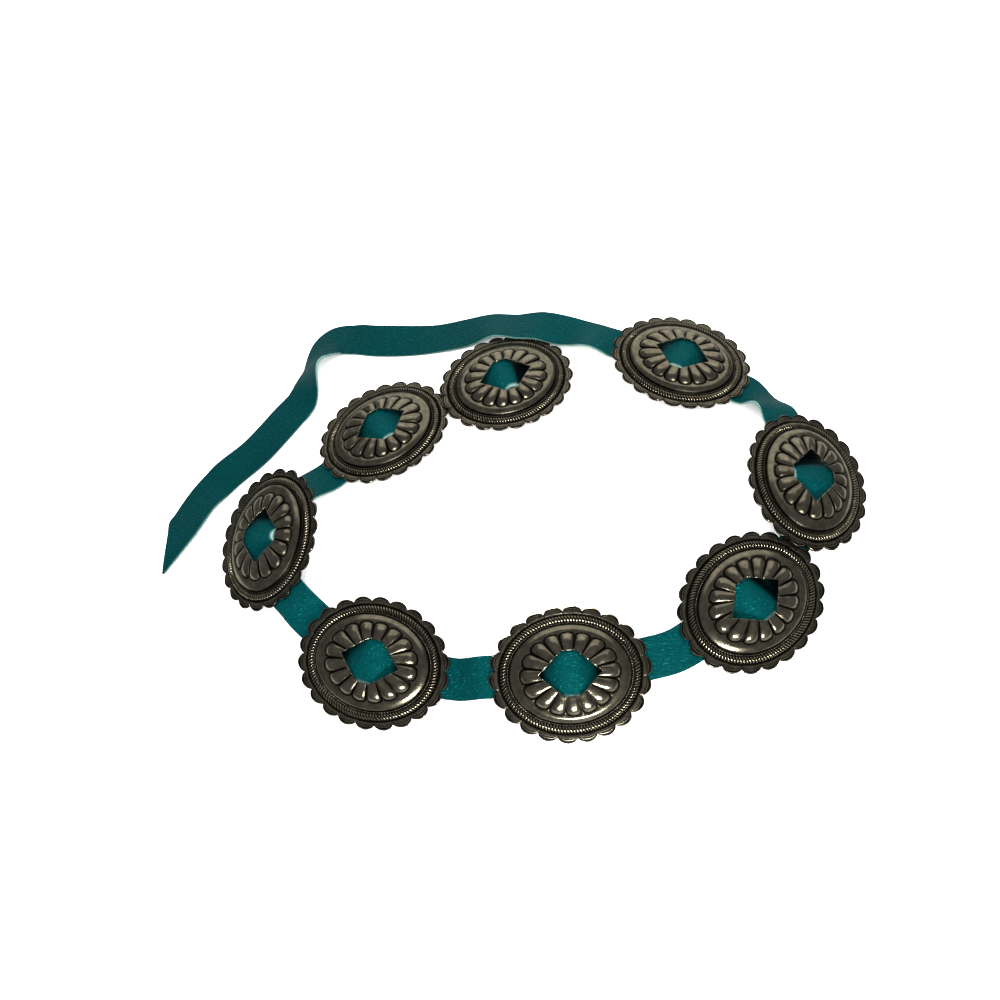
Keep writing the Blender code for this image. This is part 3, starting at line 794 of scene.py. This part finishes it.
# %% Sweep along the strap
ARCH = 1.3 * MM
MOST_ROUND = 0.8
half_width = np.linalg.norm(across, axis=1)[:, None]
half_thick = np.linalg.norm(up, axis=1)[:, None]
rounding = np.minimum(EDGE_ROUND, np.minimum(half_width, half_thick) * MOST_ROUND)
flat_share = 1 - rounding / half_width * (np.abs(section[:, 0]) < 1)
place_across = section[:, 0] * flat_share + section[:, 2] * rounding / half_width
place_up = section[:, 1] + section[:, 3] * rounding / half_thick
strap_points = centre[:, None] + across[:, None] * place_across[..., None] + up[:, None] * place_up[..., None]
bulge = ARCH * arch[:, None] * (1 - place_across ** 2) * (place_up > 0)
strap_points += (up / half_thick)[:, None] * bulge[..., None]
print("width:", round(2 * float(half_width.max()) / MM, 1), "mm at the most")

# %% Strap object
spans = len(strap_marks) - 1
first = np.arange(spans)[:, None] * count + np.arange(count)[None, :]
following = np.arange(spans)[:, None] * count + (np.arange(count)[None, :] + 1) % count
strap_quads = np.stack([first, first + count, following + count, following], axis=2).reshape(-1, 4)
hidden_end = tuple(reversed(range(count)))
cut_tip = tuple(range(spans * count, (spans + 1) * count))
strap_mesh = bpy.data.meshes.new("teal_strap")
strap_mesh.from_pydata(strap_points.reshape(-1, 3).tolist(), [],
                       strap_quads.tolist() + [cut_tip, hidden_end])
strap_mesh.shade_smooth()
strap = bpy.data.objects.new("teal_strap", strap_mesh)
bpy.context.scene.collection.objects.link(strap)
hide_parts("strap")
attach(strap, "root")
print("strap faces:", len(strap_mesh.polygons))

# %% [markdown]
# The dye is only as deep as the grain. In the windows the near edge is rubbed until the pale
# hide shows: all of the cut edge, most of the rounding above it, and a trace of the face
# beside that. Two attributes carry this and the shade into the leather's material.

# %% Raw edges and shade
# How soon the rounding above the edge turns raw, and from where on the face beside it does
ABOVE_GAIN, ABOVE_START = 1.6, 0.5
BESIDE_START = 0.7
raw = np.zeros((len(centre), count))
for near_side, edge, next_row in (("left", -1, 0), ("right", 1, TOP_RUN - 2)):
    on_edge = section[:, 0] == edge
    on_top = on_edge & (section[:, 3] > -1e-6) & (section[:, 1] > 0)
    beside = section[:, 0] == section[next_row, 0]
    bare = raw_edge[near_side]
    raw += np.outer(bare, on_edge & ~on_top)
    raw += np.outer(np.clip(ABOVE_GAIN * bare - ABOVE_START, 0, 1), on_top)
    raw += np.outer(np.clip(bare - BESIDE_START, 0, 1), beside)
for name, values in (("raw_edge", raw.ravel()), ("shade", np.repeat(shade, count))):
    layer = strap_mesh.attributes.new(name, "FLOAT", "POINT")
    layer.data.foreach_set("value", values.astype(np.float32))
print("raw points:", int((raw > 0.5).sum()))

# %% [markdown]
# ## Helpers for materials
# A material is a small workshop drawing: values flow from one node to the next. Wiring them one
# link at a time is long to read, so these helpers take either a plain value or another node's
# output for any input, and each makes one kind of step.

# %% Feeding a node
def feed(tree, socket, value):
    """Give a socket a plain value, or what another node puts out."""
    if isinstance(value, bpy.types.NodeSocket):
        tree.links.new(value, socket)
    else:
        socket.default_value = value


def add(tree, kind, settings=None, **values):
    """A shader node with its settings and its inputs by name, with _ for a space."""
    item = tree.nodes.new(kind)
    for key, value in (settings or {}).items():
        setattr(item, key, value)
    for key, value in values.items():
        feed(tree, item.inputs[key.replace("_", " ")], value)
    return item


# %% Steps of a material
def noise(tree, scale, detail=2.0, roughness=0.5, out="Fac"):
    """Soft clouds in the object's own space; a larger scale makes smaller clouds."""
    where = add(tree, "ShaderNodeNewGeometry").outputs["Position"]
    clouds = add(tree, "ShaderNodeTexNoise", Vector=where, Scale=scale, Detail=detail, Roughness=roughness)
    return clouds.outputs[out]


def ramp(tree, value, start, end, low=0.0, high=1.0, kind="LINEAR"):
    """The value, stretched from its start and end to low and high, and held beyond them."""
    return add(tree, "ShaderNodeMapRange", {"interpolation_type": kind}, Value=value, From_Min=start,
               From_Max=end, To_Min=low, To_Max=high).outputs[0]


def reckon(tree, operation, *values, kind="ShaderNodeMath"):
    """Arithmetic on up to three values, or vectors with ShaderNodeVectorMath."""
    item = add(tree, kind, {"operation": operation})
    for socket, value in zip(item.inputs, values):
        feed(tree, socket, value)
    return item.outputs[0]


def blend_colours(tree, part, first, second):
    """The first colour where the part is 0, and the second where it is 1."""
    item = add(tree, "ShaderNodeMix", {"data_type": "RGBA"}, Factor=part)
    feed(tree, item.inputs[6], first)
    feed(tree, item.inputs[7], second)
    return item.outputs[2]


print("steps:", ", ".join(step.__name__ for step in (noise, ramp, reckon, blend_colours)))

# %% [markdown]
# A group is a step of one's own: it has named sockets, and every material that uses it gives
# them its own values. Here a group works out what changes over the surface, and the shader that
# it feeds stays in the material.

# %% Groups and materials
FLOAT, COLOUR = "NodeSocketFloat", "NodeSocketColor"


def new_group(name, inputs, outputs):
    """An empty node group with named sockets, and the nodes that stand for its two ends."""
    group = bpy.data.node_groups.new(name, "ShaderNodeTree")
    for label, kind in inputs:
        group.interface.new_socket(label, in_out="INPUT", socket_type=kind)
    for label, kind in outputs:
        group.interface.new_socket(label, in_out="OUTPUT", socket_type=kind)
    return group, group.nodes.new("NodeGroupInput").outputs, group.nodes.new("NodeGroupOutput").inputs


def new_material(name, group, attributes, values, depth, strength):
    """A material whose colour, roughness and dents come from a group, and its shader."""
    material = bpy.data.materials.new(name)
    material.use_nodes = True
    tree = material.node_tree
    shader = tree.nodes["Principled BSDF"]
    finish = add(tree, "ShaderNodeGroup", {"node_tree": group})
    for label, attribute in attributes.items():
        reader = add(tree, "ShaderNodeAttribute", {"attribute_name": attribute})
        feed(tree, finish.inputs[label], reader.outputs["Fac"])
    for label, value in values.items():
        feed(tree, finish.inputs[label], value)
    feed(tree, shader.inputs["Base Color"], finish.outputs["Colour"])
    feed(tree, shader.inputs["Roughness"], finish.outputs["Roughness"])
    if "Metal" in finish.outputs:
        feed(tree, shader.inputs["Metallic"], finish.outputs["Metal"])
    bump = add(tree, "ShaderNodeBump", Strength=strength, Distance=depth, Height=finish.outputs["Height"])
    feed(tree, shader.inputs["Normal"], bump.outputs["Normal"])
    return material, shader


print("kinds of socket:", FLOAT, COLOUR)

# %% [markdown]
# ## Aged silver
# Old silver darkens where cloth and fingers don't reach, and shines where they do. A worn look
# could be painted by hand, but the rings already know how deep each point lies. The group turns
# that recess number, broken up by soft smudges, into a mask between bright metal and black
# patina. Blotches make the open metal uneven, and where the number falls below 0 the silver is
# made up to twice as bright: partly rubbed wear, partly a painted highlight on lips, strand tops and petal
# crowns.

# %% Silver wear group
silver_wear, wear_in, wear_out = new_group(
    "silver_wear",
    [("Recess", FLOAT), ("Bright", COLOUR), ("Dark", COLOUR), ("Smudge Size", FLOAT), ("Polish", FLOAT),
     ("Dullness", FLOAT)],
    [("Colour", COLOUR), ("Roughness", FLOAT), ("Metal", FLOAT), ("Height", FLOAT)])
smudge = noise(silver_wear, wear_in["Smudge Size"], detail=4.0, roughness=0.6)
smudged_recess = reckon(silver_wear, "MULTIPLY_ADD", smudge, 0.5, wear_in["Recess"])
patina = ramp(silver_wear, smudged_recess, 0.35, 1.05, kind="SMOOTHSTEP")
tone = blend_colours(silver_wear, patina, wear_in["Bright"], wear_in["Dark"])
clouds = noise(silver_wear, scale=260.0, detail=4.0, roughness=0.62)
blotches = ramp(silver_wear, clouds, 0.32, 0.68, low=0.62, high=1.20)
# Below a recess of 0 the colour is brightened up to twice: rubbed wear, and partly a painted highlight on
# lips, strand tops and petal crowns
wear_and_highlight = ramp(silver_wear, wear_in["Recess"], -1.0, 0.0, low=2.0, high=1.0)
lift = reckon(silver_wear, "MULTIPLY", blotches, wear_and_highlight)
lifted = add(silver_wear, "ShaderNodeVectorMath", {"operation": "SCALE"}, Scale=lift)
feed(silver_wear, lifted.inputs[0], tone)
feed(silver_wear, wear_out["Colour"], lifted.outputs[0])
print("silver wear nodes:", len(silver_wear.nodes))

# %% [markdown]
# The patina is duller than the polished silver, and a little less of a metal. A fine noise
# keeps the gloss from being perfect anywhere, and a coarser one is the height of small dents.

# %% Gloss and dents of the silver
gloss = ramp(silver_wear, patina, 0.0, 1.0, low=wear_in["Polish"], high=wear_in["Dullness"])
scratches = noise(silver_wear, scale=900.0, detail=3.0)
scratched = reckon(silver_wear, "MULTIPLY_ADD", scratches, 0.10, gloss)
feed(silver_wear, wear_out["Roughness"], scratched)
feed(silver_wear, wear_out["Metal"], ramp(silver_wear, patina, 0.0, 1.0, low=1.0, high=0.92))
feed(silver_wear, wear_out["Height"], noise(silver_wear, scale=420.0, detail=3.0))
antique_silver, _ = new_material(
    "antique_silver", silver_wear, {"Recess": "recess"},
    {"Bright": (0.475, 0.44, 0.325, 1), "Dark": (0.012, 0.011, 0.009, 1), "Smudge Size": 120.0,
     "Polish": 0.16, "Dullness": 0.30}, depth=0.2 * MM, strength=0.08)
for concho in conchos:
    concho.data.materials.append(antique_silver)
print("silver pieces:", len(conchos))

# %% [markdown]
# ## Teal leather
# The grain side has fine pebbles with creases between them and a satin sheen. The creases
# come from the cell borders of a Voronoi pattern: its space is stretched, because the hide was
# pulled lengthwise, and bent by noise, because no hide grows in straight cells. The cut edges
# and the back are the undyed hide, paler and without gloss, with a fibrous nap. One group
# serves all three, each with its own colours and cell size.

# %% Leather grain group
STRETCH = (0.50, 1.15, 1.15)
BEND = (0.0016, 0.0016, 0.0016)
IN_THE_DARK = (0.0004, 0.0015, 0.0025, 1)
RAW_HIDE = (0.42, 0.66, 0.60, 1)
leather_grain, grain_in, grain_out = new_group(
    "leather_grain",
    [("Pebble Size", FLOAT), ("Light", COLOUR), ("Deep", COLOUR), ("Satin", FLOAT), ("Dry", FLOAT),
     ("Shade", FLOAT), ("Raw", FLOAT)],
    [("Colour", COLOUR), ("Roughness", FLOAT), ("Height", FLOAT)])
place = add(leather_grain, "ShaderNodeNewGeometry").outputs["Position"]
stretched = reckon(leather_grain, "MULTIPLY", place, STRETCH, kind="ShaderNodeVectorMath")
wander = noise(leather_grain, scale=260.0, out="Color")
bent = reckon(leather_grain, "MULTIPLY_ADD", wander, BEND, stretched, kind="ShaderNodeVectorMath")
pebbles = add(leather_grain, "ShaderNodeTexVoronoi", {"feature": "DISTANCE_TO_EDGE"},
              Vector=bent, Scale=grain_in["Pebble Size"], Randomness=1.0)
crease = ramp(leather_grain, pebbles.outputs["Distance"], 0.0, 0.42, kind="SMOOTHSTEP")
print("leather grain nodes:", len(leather_grain.nodes))

# %% [markdown]
# Pebble tops are lighter than creases, in slow clouds of more and less dye. Over that go the
# painted dark under the silver and the raw edges. The creases are drier, so less glossy.

# %% Colour and gloss of the leather
dye_clouds = noise(leather_grain, scale=45.0, detail=3.0)
clouded = reckon(leather_grain, "MULTIPLY", crease, dye_clouds)
dyed = blend_colours(leather_grain, clouded, grain_in["Deep"], grain_in["Light"])
darkened = blend_colours(leather_grain, grain_in["Shade"], dyed, IN_THE_DARK)
bared = blend_colours(leather_grain, grain_in["Raw"], darkened, RAW_HIDE)
feed(leather_grain, grain_out["Colour"], bared)
feed(leather_grain, grain_out["Roughness"],
     ramp(leather_grain, crease, 0.0, 1.0, low=grain_in["Dry"], high=grain_in["Satin"]))
nap = noise(leather_grain, scale=2500.0)
feed(leather_grain, grain_out["Height"], reckon(leather_grain, "MULTIPLY_ADD", nap, 0.10, crease))
print("leather grain nodes:", len(leather_grain.nodes))

# %% Three faces of the hide
GRAIN_BUMP = 0.8
SHEEN_LEVEL = 0.8
TEAL_SHEEN = (0.05, 0.88, 0.85, 1)
# name, cell size, light, deep, satin, dry, depth of the grain in mm
HIDE_FACES = [
    ("teal_grain", 640.0, (0.0005, 0.080, 0.086, 1), (0.0002, 0.042, 0.047, 1), 0.34, 0.50, 0.50),
    ("cut_edge", 1800.0, (0.42, 0.66, 0.60, 1), (0.22, 0.42, 0.38, 1), 0.8, 0.95, 0.10),
    ("suede_back", 1200.0, (0.42, 0.52, 0.48, 1), (0.28, 0.38, 0.35, 1), 0.9, 1.0, 0.15),
]
for name, cells, light, deep, satin, dry, depth in HIDE_FACES:
    hide, shader = new_material(
        name, leather_grain, {"Shade": "shade", "Raw": "raw_edge"},
        {"Pebble Size": cells, "Light": light, "Deep": deep, "Satin": satin, "Dry": dry},
        depth=depth * MM, strength=GRAIN_BUMP)
    shader.inputs["Specular IOR Level"].default_value = SHEEN_LEVEL
    shader.inputs["Specular Tint"].default_value = TEAL_SHEEN
    strap_mesh.materials.append(hide)
# A face is cut edge where either of its two rows is
row_finish, next_finish = section[:, 4], np.roll(section[:, 4], -1)
face_finish = np.where((row_finish == CUT) | (next_finish == CUT), CUT, row_finish)
slot_of_face = np.concatenate([np.tile(face_finish, spans), [CUT, CUT]])
strap_mesh.polygons.foreach_set("material_index", slot_of_face.astype(np.int32))
print("materials:", ", ".join(material.name for material in bpy.data.materials))
